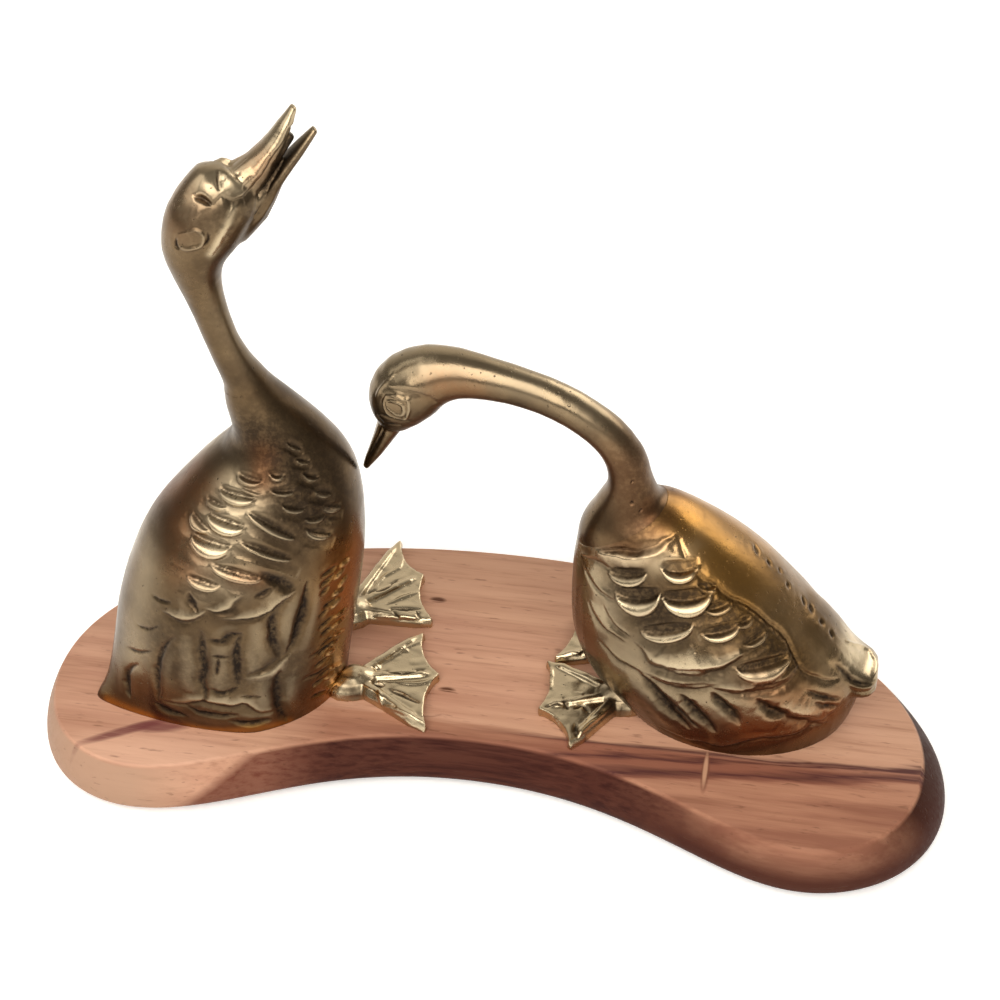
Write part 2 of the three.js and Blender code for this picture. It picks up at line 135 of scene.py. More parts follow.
def deleteFaces(obj, doomed):
    mesh = obj.data
    mesh.vertices.foreach_set("select", np.zeros(len(mesh.vertices), dtype=bool))
    mesh.edges.foreach_set("select", np.zeros(len(mesh.edges), dtype=bool))
    mesh.polygons.foreach_set("select", doomed)
    only(obj)
    bpy.context.tool_settings.mesh_select_mode = (False, False, True)
    bpy.ops.object.mode_set(mode="EDIT")
    bpy.ops.mesh.delete(type="FACE")
    done()


def treeOf(obj):
    mesh = obj.data
    return BVHTree.FromPolygons([v.co for v in mesh.vertices], [p.vertices for p in mesh.polygons])


# True for the faces that look at another face of the same casting: the walls of its hollow
def hollowFaces(obj):
    tree = treeOf(obj)
    start = 0.01 * mm
    return [tree.ray_cast(p.center + p.normal * start, p.normal)[0] is not None for p in obj.data.polygons]


def cutAway(obj, point, normal):
    onMesh(obj, bpy.ops.mesh.bisect, plane_co=point, plane_no=normal, use_fill=True, clear_outer=True,
           threshold=1e-7)


def spotsOf(obj):
    spots = np.empty(len(obj.data.vertices) * 3)
    obj.data.vertices.foreach_get("co", spots)
    return spots.reshape(-1, 3)


# evens a mesh out without shrinking it: what smoothing takes off is itself smoothed and put back
def relax(obj, passes, weight):
    pairs = np.empty(len(obj.data.edges) * 2, dtype=np.int32)
    obj.data.edges.foreach_get("vertices", pairs)
    a, b = pairs[0::2], pairs[1::2]
    count = len(obj.data.vertices)
    joins = (np.bincount(a, minlength=count) + np.bincount(b, minlength=count))[:, None]

    def smooth(field):
        for _ in range(passes):
            around = [np.bincount(a, field[b, k], count) + np.bincount(b, field[a, k], count) for k in range(3)]
            field = field + 0.5 * weight[:, None] * (np.stack(around, 1) / joins - field)
        return field

    spots = spotsOf(obj)
    even = smooth(spots)
    even += smooth(spots - even)
    obj.data.vertices.foreach_set("co", even.ravel())
    obj.data.update()


def finishPiece(obj, node, material):
    obj.name = node.replace("_goose", "") + "_cast" if "goose" in node else node + "_piece"
    obj.data.name = obj.name
    obj.data.materials.append(material)
    onMesh(obj, bpy.ops.mesh.normals_make_consistent, inside=False)
    only(obj)
    bpy.ops.object.shade_smooth_by_angle(angle=math.radians(50))
    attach(obj, "root")
    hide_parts(node)


# materials
def linear(code):
    parts = [int(code[i:i + 2], 16) / 255 for i in (1, 3, 5)]
    return (*[c / 12.92 if c <= 0.04045 else ((c + 0.055) / 1.055) ** 2.4 for c in parts], 1)


# adds a node: inputs go to its live sockets in order, or by name, and a node among them gives its live output
def addNode(tree, kind, inputs=(), **settings):
    made = tree.nodes.new("ShaderNode" + kind)
    for key, value in settings.items():
        setattr(made, key, value)
    if isinstance(inputs, dict):
        wanted = [(made.inputs[key], value) for key, value in inputs.items()]
    else:
        wanted = zip([socket for socket in made.inputs if socket.enabled], inputs)
    for socket, value in wanted:
        if isinstance(value, bpy.types.Node):
            value = next(output for output in value.outputs if output.enabled)
        if isinstance(value, bpy.types.NodeSocket):
            tree.links.new(value, socket)
        else:
            socket.default_value = value
    return made


# an empty material with its grains, each given as a size in mm, detail, roughness and how it is drawn out along x
def newMaterial(look):
    made = bpy.data.materials.new(look["name"])
    made.use_nodes = True
    tree = made.node_tree
    tree.nodes.clear()
    place = addNode(tree, "TexCoord").outputs["Object"]
    grains = []
    for sizeMm, detail, roughness, drawnOut in look.get("grains", {}).values():
        laid = addNode(tree, "Mapping", {"Vector": place, "Scale": (drawnOut, 1, 1)})
        grains.append(addNode(tree, "TexNoise", {"Vector": laid, "Scale": 1 / (sizeMm * mm), "Detail": detail,
                                                 "Roughness": roughness}))
    return made, tree, place, grains


def finishMaterial(tree, inputs):
    addNode(tree, "OutputMaterial", (addNode(tree, "BsdfPrincipled", inputs),))


# the share of a patch: each limit is a value, where it starts, where it is full, and what those two count for
def shareOf(tree, strength, *limits):
    share = strength
    for limit in limits:
        share = addNode(tree, "Math", (share, addNode(tree, "MapRange", limit)), operation="MULTIPLY")
    return share


# colours of a look laid over its ground, each with the strength and the limits of its share
def layered(tree, look, layers, ground="ground"):
    colour = linear(look[ground])
    for top, strength, *limits in layers:
        top = linear(look[top]) if isinstance(top, str) else top
        colour = addNode(tree, "Mix", (shareOf(tree, strength, *limits), colour, top), data_type="RGBA")
    return colour


# antique brass: olive grey gold on the rubbed highs and where a highlight is painted, near black in the carving and
# where shade is painted, red and gold where it is stained, and gold where a glint or a reflection of the wood is
# painted
brassLook = {
    "name": "antique brass",
    "grains": {"cloud": (14, 4, 0.6, 1), "fine": (1.6, 4, 0.65, 1), "speck": (1.1, 2, 0.5, 1)},
    "ground": "#6f5b42", "shaded": "#524230", "rubbed": "#cab898", "golden": "#b5843f", "coppery": "#8f5a34",
    "dirty": "#261f1a", "pits": (0.68, 0.76), "pitDirt": 0.75, "pitHeight": -1.5,
    "roughness": (0.21, 0.33), "dirtRoughness": 0.25, "bump": {"Strength": 0.3, "Distance": 0.15 * mm},
}
stainAndLightFields = ("patina", "copper", "gold", "rub")


def makeBrass(look):
    made, tree, place, (cloud, fine, speck) = newMaterial(look)
    patina, copper, gold, rub = [addNode(tree, "Attribute", attribute_name=field).outputs["Fac"]
                                 for field in stainAndLightFields]
    # patina and painted shade darken the brass, less on the rubbed highs
    soiledAndShaded = shareOf(tree, patina, (rub, 0, 0.8, 1, 0.15), (fine, 0.36, 0.56, 0.5, 1))
    pitDirt = shareOf(tree, look["pitDirt"], (speck, *look["pits"]))
    dirtAndShade = addNode(tree, "Math", (soiledAndShaded, pitDirt), operation="MAXIMUM")
    colour = layered(tree, look, [
        ("shaded", 1, (cloud, 0.35, 0.7)),
        ("rubbed", rub),
        ("golden", gold, (cloud, 0.3, 0.65, 1, 0.6)),
        ("coppery", copper, (fine, 0.3, 0.6, 0.6, 1)),
        ("dirty", dirtAndShade),
    ])
    clean = addNode(tree, "MapRange", (cloud, 0.3, 0.7, *look["roughness"]))
    rough = addNode(tree, "Math", (dirtAndShade, look["dirtRoughness"], clean), operation="MULTIPLY_ADD")
    pitHeight = shareOf(tree, look["pitHeight"], (speck, *look["pits"]))
    height = addNode(tree, "Math", (fine, pitHeight), operation="ADD")
    bump = addNode(tree, "Bump", {"Height": height, **look["bump"]})
    finishMaterial(tree, {"Base Color": colour, "Metallic": 1, "Roughness": rough, "Normal": bump})
    return made


brass = makeBrass(brassLook)
print("stage: helpers and brass ready")


# a tool and the lines it cuts: a groove, a ridge, or an edge, which leaves a step down on the right of its path
def tool(kind, wideMm, deepMm, lines=(), **more):
    return {"kind": kind, "wideMm": wideMm, "deepMm": deepMm, "lines": lines, **more}


# geese: where each stands, as in the part's source, and the marks of the carver's tools in pixels of
# the photograph. A shingle is its left end, right end, tip and the share of it that is hollow.
callingGoose = {
    "name": "calling_goose", "atMm": (-78.23, -11.6), "heading": 24.5,
    "seat": {"atMm": (11.2, 0, 107), "tilt": -20, "blendMm": 14},
    "bill": {"fromMm": (13, 0, 160), "along": (0.75, 0, 0.66), "atMm": (14, 0, 176), "blendMm": 8},
    "shingles": [
        ((192, 532), (231, 546), (212, 560), 0.25), ((208, 512), (246, 526), (224, 536), 0.25),
        ((220, 488), (256, 497), (236, 506), 0.35), ((238, 473), (262, 481), (254, 489), 0.4),
        ((193, 512), (209, 531), (196, 533), 0.1), ((207, 498), (227, 507), (212, 509), 0.2),
        ((240, 487), (262, 494), (250, 496), 0.2), ((282, 505), (306, 507), (296, 514), 0.4),
        ((315, 490), (332, 492), (323, 498), 0.5), ((303, 472), (319, 477), (312, 482), 0.5),
        ((323, 506), (341, 505), (332, 513), 0.4), ((305, 519), (326, 514), (313, 524), 0.3),
        ((306, 528), (332, 533), (317, 540), 0.5), ((269, 472), (285, 473), (278, 482), 0.5),
        ((270, 490), (295, 490), (282, 497), 0.4), ((287, 442), (302, 449), (293, 450), 0.5),
        ((296, 459), (310, 461), (303, 465), 0.4), ((187, 575), (220, 586), (202, 591), 0.3),
        ((247, 511), (296, 538), (266, 532), 0.35), ((239, 541), (292, 559), (262, 557), 0.35),
        ((210, 563), (263, 578), (234, 582), 0.3),
    ],
    "tools": [
        tool("edge", 1.9, 0.75, [
            [(165, 613), (180, 620), (195, 619), (209, 611)],
            [(205, 608), (215, 612), (229, 610), (236, 601), (244, 596)],
            [(222, 620), (250, 619), (268, 612), (280, 602), (294, 593)],
            [(288, 655), (281, 660), (270, 670), (258, 674), (246, 676)],
            [(166, 700), (182, 703), (202, 701), (230, 706), (245, 703), (260, 712), (276, 710)],
        ]),
        tool("groove", 3.0, 1.1, [
            [(260, 574), (278, 581), (295, 588)], [(306, 583), (303, 610), (297, 632), (288, 653)],
            [(200, 632), (203, 652), (203, 672), (202, 701)], [(278, 672), (276, 690), (280, 709), (288, 722)],
            [(277, 610), (272, 626), (275, 645), (281, 660)], [(243, 634), (236, 652), (238, 668), (241, 688)],
        ]),
        tool("groove", 2.0, 0.75, [
            [(188, 592), (190, 601), (197, 612)], [(255, 598), (264, 594), (272, 588)],
            [(207, 640), (222, 642), (232, 636), (243, 634)], [(211, 690), (222, 694), (240, 687)],
            [(174, 638), (164, 648), (159, 665), (157, 699)], [(137, 664), (128, 672), (128, 686), (130, 697)],
            [(187, 705), (200, 713), (220, 716), (237, 715)], [(230, 720), (250, 724), (270, 719)],
            [(155, 703), (170, 711), (188, 716)], [(284, 727), (305, 722), (325, 712), (340, 704)],
        ]),
        tool("groove", 1.0, 0.35, [
            [(212, 655), (230, 657)], [(219, 658), (217, 675)], [(240, 696), (262, 697)],
            [(127, 647), (140, 652), (153, 651)], [(137, 625), (150, 629), (160, 626)],
            [(152, 594), (160, 600), (171, 603)], [(310, 657), (325, 647), (340, 637)],
            [(302, 680), (318, 673), (330, 664)],
        ]),
    ],
    "ticks": {"start": (324, 578), "across": (13, -10), "down": (-1, 10), "stroke": (15, -12), "rows": 13,
              "loosePx": 3, "lengths": (0.6, 1.1), "tools": [tool("groove", 1.2, 0.6), tool("ridge", 1.3, 0.8)]},
    # rub: wear, with painted highlight on the bright shingles; gold: golden tone with painted glint along the chest,
    # and painted reflection of the wood along the rim
    "stains": {
        "rub": [([(207, 550), (222, 524), (238, 497)], 8, 0.85), ([(200, 585), (240, 578)], 5, 0.4),
                ([(150, 550), (140, 610), (134, 660)], 6, 0.3)],
        "gold": [([(345, 560), (342, 620), (335, 690)], 8, 0.9),
                 ([(108, 700), (150, 716), (200, 729), (250, 729), (300, 718), (340, 698)], 1.6, 0.9)],
        "patina": [([(170, 640), (190, 670), (240, 675), (290, 670)], 15, 0.46),
                   ([(262, 440), (285, 475), (312, 512)], 13, 0.8), ([(150, 520), (166, 490), (190, 462)], 8, 0.3),
                   ([(300, 440), (330, 480)], 9, 0.6)],
        "copper": [([(345, 560), (342, 620), (335, 690)], 9, 0.3), ([(190, 470), (178, 520), (185, 560)], 7, 0.55),
                   ([(262, 455), (261, 478)], 4, 0.6), ([(236, 578), (257, 580)], 3, 0.4)],
    },
    "headTools": [
        tool("ridge", 1.0, 0.45, [
            [(179, 234), (190, 232), (198, 231), (203, 236), (203, 243), (199, 247), (188, 249), (180, 246),
             (178, 240), (179, 234)]]),
        tool("ridge", 9, 1.1, [[(222, 172), (233, 182), (244, 188)]]),
        tool("groove", 0.9, 0.4, [
            [(207, 232), (208, 239), (203, 247)], [(175, 238), (176, 246), (180, 249)],
            [(218, 171), (217, 182), (219, 191)], [(239, 174), (241, 176)],
        ]),
        tool("ridge", 2.4, 0.4, [[(233, 208), (228, 222), (219, 240), (211, 254)]]),
        tool("edge", 2.2, 0.9, [
            [(214, 204), (222, 194), (231, 197), (240, 195), (248, 189), (259, 177), (271, 160),
             (279, 148), (286, 134), (292, 125)], [(254, 215), (259, 202), (267, 181), (280, 166)],
        ], lip=0.5, shade=0.5),
        tool("groove", 2.2, 1.2, [[(194, 196), (203, 200), (211, 206)]]),
    ],
    # the first rub mark is a painted highlight along the brow and the top of the bill; the second is a bright
    # scratch
    "headStains": {"rub": [([(186, 205), (205, 186), (228, 182), (250, 170), (268, 146), (288, 116)], 5, 0.8),
                           ([(233, 208), (228, 222), (219, 240), (211, 254)], 1.2, 1.0)],
                   "patina": [([(264, 186), (279, 162), (291, 140)], 3.4, 1.0),
                              ([(195, 224), (222, 214), (244, 205)], 6, 0.55), ([(200, 255), (206, 275)], 8, 0.35),
                              ([(206, 290), (222, 345), (242, 400)], 9, 0.25)],
                   "copper": [([(262, 160), (255, 170)], 4, 0.5), ([(186, 200), (176, 215)], 6, 0.35)]},
    "feet": {
        "right": {
            "ridges": [[(384, 705), (400, 711), (424, 722)], [(386, 681), (404, 683), (424, 683), (436, 676)],
                       [(384, 661), (404, 650), (430, 637)], [(376, 665), (381, 669)], [(377, 682), (384, 685)],
                       [(379, 688), (381, 704)], [(396, 707), (402, 713)], [(401, 648), (408, 652)]],
            "grooves": [[(388, 690), (405, 696), (420, 704)], [(383, 671), (404, 673), (425, 669)],
                        [(372, 684), (384, 686)]],
            "dark": [([(352, 690), (356, 694)], 3, 0.9), ([(362, 703), (368, 704)], 2.5, 0.6)],
        },
        "left": {
            "ridges": [[(386, 605), (404, 597), (420, 592)], [(372, 592), (385, 577), (400, 566), (402, 550)],
                       [(372, 616), (392, 616), (418, 619)]],
            "grooves": [[(364, 596), (372, 592), (384, 589), (398, 580)], [(372, 609), (390, 610), (420, 609)],
                        [(393, 611), (399, 618)], [(416, 611), (421, 619)]],
            "dark": [([(361, 594), (364, 595)], 2, 0.8), ([(372, 608), (376, 608)], 2, 0.8)],
        },
    },
}
bowingGoose = {
    "name": "bowing_goose", "atMm": (75.77, 4.5), "heading": 180,
    "seat": {"atMm": (40, 0, 64), "tilt": 33, "blendMm": 18},
    "bill": {"fromMm": (106, 0, 89), "along": (0.4, 0, -0.92), "atMm": (106, 0, 92), "blendMm": 4},
    "shingles": [
        ((608, 570), (647, 571), (628, 587), 0.4), ((614, 590), (660, 590), (640, 616), 0.5),
        ((660, 564), (699, 561), (681, 584), 0.65), ((661, 594), (712, 588), (683, 618), 0.5),
        ((639, 629), (693, 622), (666, 643), 0.55), ((701, 632), (740, 622), (720, 643), 0.55),
        ((704, 609), (732, 600), (722, 615), 0.5), ((697, 584), (718, 584), (708, 595), 0.5),
        ((736, 624), (752, 616), (746, 629), 0.4), ((744, 645), (766, 631), (758, 646), 0.4),
        ((774, 664), (789, 654), (784, 667), 0.4), ((736, 668), (790, 655), (764, 682), 0.3),
    ],
    "tools": [
        tool("edge", 2.6, 1.2, [
            [(672, 537), (657, 549), (643, 553), (630, 555), (615, 553), (600, 548), (590, 543), (586, 535)],
        ]),
        tool("edge", 3.2, 1.1, [
            [(638, 646), (653, 661), (675, 670), (703, 671), (726, 665), (746, 655)],
            [(650, 675), (670, 684), (690, 688), (713, 684)],
            [(716, 689), (736, 691), (761, 688), (786, 680), (797, 668)],
            [(774, 709), (799, 718), (826, 721)],
        ]),
        tool("edge", 2.4, 1.5, [
            [(680, 541), (688, 555), (703, 575), (721, 586), (740, 598), (759, 609), (773, 621), (786, 632),
             (796, 651), (805, 667), (820, 676), (836, 678)],
        ], lip=0.1),
        tool("edge", 1.6, 0.6, [
            [(663, 728), (686, 738), (700, 741), (713, 744), (726, 746), (758, 738), (792, 734), (812, 723),
             (836, 709), (843, 699)],
            [(582, 555), (600, 560), (612, 570)], [(585, 568), (598, 588), (616, 602)],
            [(588, 600), (602, 624), (626, 642)], [(605, 608), (615, 624), (632, 637)],
            [(600, 640), (616, 656), (642, 672)],
        ]),
        tool("groove", 3.4, 1.4, [
            [(640, 675), (661, 698), (690, 728)], [(678, 694), (695, 713), (715, 731)],
            [(711, 694), (726, 709), (739, 723)], [(758, 699), (769, 709), (787, 719)],
        ]),
        tool("groove", 1.6, 0.6, [
            [(814, 703), (826, 706), (839, 706)], [(806, 690), (824, 697), (840, 699)],
            [(650, 680), (672, 704), (700, 728)],
        ]),
        tool("groove", 1.8, 0.8, [[(836, 664), (848, 676), (860, 683), (873, 684)]]),
        tool("ridge", 2.0, 0.7, [[(846, 642), (860, 646), (874, 655)], [(872, 653), (876, 664), (873, 679)]]),
        tool("ridge", 1.1, 0.5, [[(700, 626), (698, 633), (703, 645)]]),
    ],
    "ticks": {"start": (755, 545), "across": (0, 0), "down": (11, 12), "stroke": (4, 10), "rows": 8, "loosePx": 3,
              "lengths": (0.6, 1.1), "tools": [tool("groove", 1.2, 0.5)]},
    # rub: wear, with painted highlight on the tail's facet and below the collar
    "stains": {
        "rub": [([(852, 654), (868, 662)], 6, 0.95), ([(765, 605), (800, 640), (826, 658)], 6, 0.3),
                ([(588, 556), (600, 610)], 8, 0.6), ([(660, 556), (686, 548)], 5, 0.9),
                ([(630, 660), (690, 700), (770, 715), (820, 705)], 12, 0.3)],
        "patina": [([(625, 585), (645, 612), (690, 606), (740, 622), (795, 664)], 8, 0.85),
                   ([(640, 515), (640, 530)], 9, 0.6), ([(604, 538), (628, 546), (650, 538), (668, 518)], 5, 0.4)],
        "copper": [([(604, 538), (628, 546), (650, 538), (668, 518)], 5, 0.35),
                   ([(745, 732), (790, 728), (830, 710)], 6, 0.8), ([(760, 690), (800, 700)], 6, 0.5),
                   ([(690, 735), (720, 742)], 5, 0.5)],
        "gold": [([(690, 525), (722, 565), (755, 592)], 11, 0.9), ([(755, 592), (805, 650)], 11, 0.5)],
    },
    "headTools": [
        tool("ridge", 1.0, 0.5, [
            [(386, 401), (391, 401), (401, 404), (404, 408), (403, 414), (398, 415), (391, 411), (387, 407),
             (386, 401)],
            [(386, 396), (397, 397), (403, 400), (407, 399), (409, 410), (405, 419), (397, 418), (388, 414),
             (384, 405), (386, 396)],
        ]),
        tool("groove", 0.9, 0.4, [
            [(376, 413), (386, 416), (397, 419), (410, 421)], [(383, 424), (391, 424), (401, 425)],
            [(383, 424), (383, 431), (377, 442), (371, 453), (366, 462)], [(376, 413), (379, 418), (383, 424)],
        ]),
        tool("ridge", 1.4, 0.4, [[(376, 397), (384, 386), (395, 374)]]),
        tool("edge", 2.4, 0.6, [[(392, 387), (408, 389), (424, 393), (439, 402)]], shade=0.4, lip=0.3),
        tool("groove", 1.1, 0.5, [[(632, 481), (633, 483)], [(630, 502), (634, 503)], [(640, 510), (641, 511)]]),
    ],
    "headStains": {"patina": [([(560, 432), (590, 440), (612, 462)], 5, 0.35),
                              ([(632, 450), (640, 500), (640, 530)], 9, 0.6)],
                   "copper": [([(630, 460), (642, 520)], 10, 0.35), ([(648, 505), (652, 518)], 4, 0.6),
                              ([(440, 385), (470, 392)], 5, 0.35)]},
    "feet": {
        "left": {
            "ridges": [[(578, 738), (584, 727), (600, 716), (606, 712)], [(552, 668), (551, 682), (552, 690)],
                       [(564, 735), (560, 725), (552, 717)]],
            "grooves": [[(564, 698), (568, 710)], [(575, 724), (577, 738)], [(575, 709), (582, 705), (590, 712)],
                        [(545, 707), (556, 703), (565, 705)]],
            "dark": [([(612, 706), (618, 710)], 4, 0.9), ([(598, 689), (602, 691)], 3, 0.7)],
        },
        "right": {
            "ridges": [[(559, 657), (570, 653), (580, 653)]],
            "grooves": [[(580, 655), (586, 648)]],
            "dark": [([(582, 627), (584, 630)], 3, 0.8), ([(598, 654), (602, 656)], 3, 0.8)],
        },
    },
}


def placeGoose(goose):
    x, y = goose["atMm"]
    stand = Matrix.Translation(Vector((x * mm, y * mm, boardTop)))
    return stand @ Matrix.Rotation(math.radians(goose["heading"]), 4, "Z")


def seatPlane(goose):
    seat = goose["seat"]
    world = placeGoose(goose)
    tilt = math.radians(seat["tilt"])
    point = world @ Vector([along * mm for along in seat["atMm"]])
    return point, world.to_3x3() @ Vector((math.sin(tilt), 0, math.cos(tilt)))


# how far the points of a casting lie above the seat of its neck, in mm
def aboveSeat(obj, goose):
    point, normal = seatPlane(goose)
    return (spotsOf(obj) - np.array(point)) @ np.array(normal) / mm


# carving: marks are drawn on the skin through the camera and mirrored to the goose's other side
def smoothPath(points, step):
    path = []
    ends = [points[0]] + list(points) + [points[-1]]
    for a, b, c, d in zip(ends, ends[1:], ends[2:], ends[3:]):
        count = max(1, round(math.dist(b, c) / step))
        for i in range(count):
            t = i / count
            path.append([0.5 * (2 * q + (r - p) * t + (2 * p - 5 * q + 4 * r - s) * t * t
                                + (3 * q - p - 3 * r + s) * t ** 3) for p, q, r, s in zip(a, b, c, d)])
    return path + [points[-1]]


def localSpots(obj, goose):
    toLocal = np.array(placeGoose(goose).inverted())
    return (spotsOf(obj) @ toLocal[:3, :3].T + toLocal[:3, 3]) / mm


# the skin of a casting in the goose's own millimetres, with its carving and stains still blank
def openSkin(obj, goose):
    count = len(obj.data.vertices)
    normals = np.empty(count * 3)
    obj.data.vertex_normals.foreach_get("vector", normals)
    facing = normals.reshape(-1, 3) @ np.array(placeGoose(goose).inverted())[:3, :3].T
    skin = {"obj": obj, "goose": goose, "tree": treeOf(obj), "spots": localSpots(obj, goose), "facing": facing,
            "fade": (14, 10)}
    return skin | {field: np.zeros(count) for field in ("cut", "rise", *stainAndLightFields)}


# where the pixels of a path fall on the skin, in the goose's own millimetres, and the way to its right there
def landed(skin, pixels, step=3):
    toLocal = placeGoose(skin["goose"]).inverted()
    hits = [skin["tree"].ray_cast(eye, pixelDirection(u, v))[:2] for u, v in smoothPath(pixels, step)]
    spots = np.array([toLocal @ spot / mm for spot, facing in hits if spot is not None]).reshape(-1, 3)
    facings = np.array([toLocal.to_3x3() @ facing for spot, facing in hits if spot is not None]).reshape(-1, 3)
    if len(spots) < 2:
        return spots, facings
    right = np.cross(np.gradient(spots, axis=0), facings)
    return spots, right / np.maximum(np.linalg.norm(right, axis=1), 1e-6)[:, None]


# the carved side, and the far side, where the marks fade out towards the middle of the back and breast
def sidesOf(skin, mirrored):
    sides = [(np.array((1, 1, 1)), np.ones(len(skin["spots"])))]
    if mirrored:
        start, span = skin["fade"]
        sides.append((np.array((1, -1, 1)), np.clip((abs(skin["spots"][:, 1]) - start) / span, 0, 1)))
    return sides


# the skin near a line: which points, how far along it from 0 to 1, and the way from the line to them
def nearLine(skin, line, reach):
    spots = skin["spots"]
    near = np.nonzero(((spots > line.min(0) - reach) & (spots < line.max(0) + reach)).all(1))[0]
    away = np.full(len(near), 1e6)
    place = np.zeros(len(near))
    offset = np.zeros((len(near), 3))
    for i, (a, b) in enumerate(zip(line, line[1:])):
        span = b - a
        t = np.clip((spots[near] - a) @ span / max(span @ span, 1e-9), 0, 1)
        step = spots[near] - a - t[:, None] * span
        gap = np.linalg.norm(step, axis=1)
        closer = gap < away
        away[closer] = gap[closer]
        place[closer] = (i + t[closer]) / (len(line) - 1)
        offset[closer] = step[closer]
    return near, away, place, offset


def raiseTo(field, near, value):
    field[near] = np.maximum(field[near], value)


# an unsteady hand: smooth random values between about -1 and 1
def waver(count):
    rough = hand.normal(size=count + 4)
    return np.convolve(rough, np.ones(5) / 3, "valid")


# how the tools bite, as shares of a tool's width and depth
stroke = {"wander": 0.12, "swell": 0.2, "ends": 0.2, "burr": 0.25, "burrAt": 1.5, "groovePatina": 1.3,
          "edgeStart": 0.45, "lip": 0.9, "lipWide": 1.7, "patinaWide": 0.8, "reach": 3}


def drawLine(skin, pixels, used, mirrored=True):
    wide, deep, shade = used["wideMm"], used["deepMm"], used.get("shade", 1)
    line, right = landed(skin, pixels)
    if len(line) < 2:
        return
    line = line + right * (stroke["wander"] * wide * waver(len(line)))[:, None]
    swell = 1 + stroke["swell"] * waver(len(line))
    for flip, fade in sidesOf(skin, mirrored):
        near, away, place, offset = nearLine(skin, line * flip, stroke["reach"] * wide)
        index = np.rint(place * (len(line) - 1)).astype(int)
        taper = stroke["ends"] + (1 - stroke["ends"]) * np.sin(np.pi * np.clip(place, 0.02, 0.98)) ** 0.6
        width = wide * taper * swell[index]
        force = taper * fade[near]
        bowl = np.exp(-(2 * away / width) ** 2) * force
        if used["kind"] == "ridge":
            raiseTo(skin["rise"], near, deep * bowl)
        elif used["kind"] == "groove":
            burr = np.exp(-((away - stroke["burrAt"] * wide) / wide) ** 2) * force
            raiseTo(skin["cut"], near, deep * bowl)
            raiseTo(skin["rise"], near, stroke["burr"] * deep * burr)
            raiseTo(skin["patina"], near, shade * np.clip(stroke["groovePatina"] * bowl, 0, 1))
        else:
            below = (offset * (right * flip)[index]).sum(1) > 0
            force = force * np.clip(away / (stroke["edgeStart"] * width), 0, 1)
            lip = used.get("lip", stroke["lip"]) * deep * np.exp(-(away / (stroke["lipWide"] * width)) ** 2)
            dark = shade * np.exp(-(away / (stroke["patinaWide"] * width)) ** 2)
            raiseTo(skin["cut"], near, deep * np.exp(-(away / width) ** 2) * force * below)
            raiseTo(skin["rise"], near, lip * force * ~below)
            raiseTo(skin["patina"], near, dark * force * below)


# one shingle: a pitted hollow above, a plane that tilts out to a rounded lip, and a step below it.
# u and v run over it from -1 to 1 across and from 0 to 1 down to its tip.
shingleForm = {"hollow": 0.75, "lipPerMm": 0.2, "lipMm": 0.3, "recessPerMm": 0.1, "recessMm": 0.4, "rim": 1.08,
               "rimSoft": 0.12, "stepMm": 0.5, "stepReachMm": 2.2, "aboveMm": 0.9, "pitting": 0.12, "darkSoft": 0.16,
               "hollowPatina": 0.85, "stepPatina": 0.7}


def drawShingle(skin, left, right, tip, hollow):
    form = shingleForm
    whole = 1000  # a step longer than any shingle, so only its corners land
    ends, _ = landed(skin, (left, right), whole)
    low, _ = landed(skin, (tip, tip), whole)
    if len(ends) < 2 or len(low) < 1:
        return
    corners = np.array([ends[0], ends[-1], low[0]])
    for flip, fade in sidesOf(skin, True):
        a, b, c = corners * flip
        middle = (a + b) / 2
        half = np.linalg.norm(b - a) / 2
        along = (b - a) / (2 * half)
        drop = c - middle - (c - middle) @ along * along
        length = np.linalg.norm(drop)
        drop = drop / length
        offset = skin["spots"] - middle
        u = offset @ along / half
        v = offset @ drop / length
        deep = offset @ np.cross(along, drop)
        near = np.nonzero((abs(u) < 1.4) & (v > -1) & (v < 1.9) & (abs(deep) < half + 2))[0]
        u, v, fade = u[near], v[near], fade[near]
        chord = np.sqrt(np.clip(1 - u * u, 0, 1))
        ring = np.hypot(u, np.clip(v, 0, None))
        belly = np.clip(v / np.maximum(ring, 1e-3), 0, 1)
        above = np.exp(-(np.clip(-v, 0, None) * length / form["aboveMm"]) ** 2)
        floor = form["hollow"] * hollow * chord
        tilt = np.clip((v - floor) / np.maximum(chord - floor, 0.05), 0, 1)
        bulge = (1 - (1 - np.clip(tilt / 0.6, 0, 1)) ** 2) * (1 - 0.45 * np.clip(tilt / 0.4 - 1.5, 0, 1) ** 2)
        lipMm = form["lipPerMm"] * length + form["lipMm"]
        recessMm = (form["recessPerMm"] * length + form["recessMm"]) * min(1, 0.4 + 2 * hollow)
        inside = np.clip((form["rim"] - ring) / form["rimSoft"], 0, 1)
        past = np.clip(ring - form["rim"], 0, None) * length
        under = np.exp(-(past / form["stepReachMm"]) ** 2) * belly * (ring > 1.04)
        pitted = v + form["pitting"] * hand.normal(size=len(near))
        dark = np.clip((floor + 0.1 - pitted) / form["darkSoft"], 0, 1) * above * np.clip(3 * chord - 0.6, 0, 1)
        recess = recessMm * (1 - tilt) * chord * above * (ring < 1.1)
        raiseTo(skin["rise"], near, lipMm * bulge * chord ** 0.5 * inside * (v > 0) * fade)
        raiseTo(skin["cut"], near, np.maximum(recess, form["stepMm"] * under) * fade)
        # the hollow gets pitted patina, and the step under the lip gets patina with painted shadow
        raiseTo(skin["patina"], near, np.maximum(form["hollowPatina"] * dark, form["stepPatina"] * under) * fade)


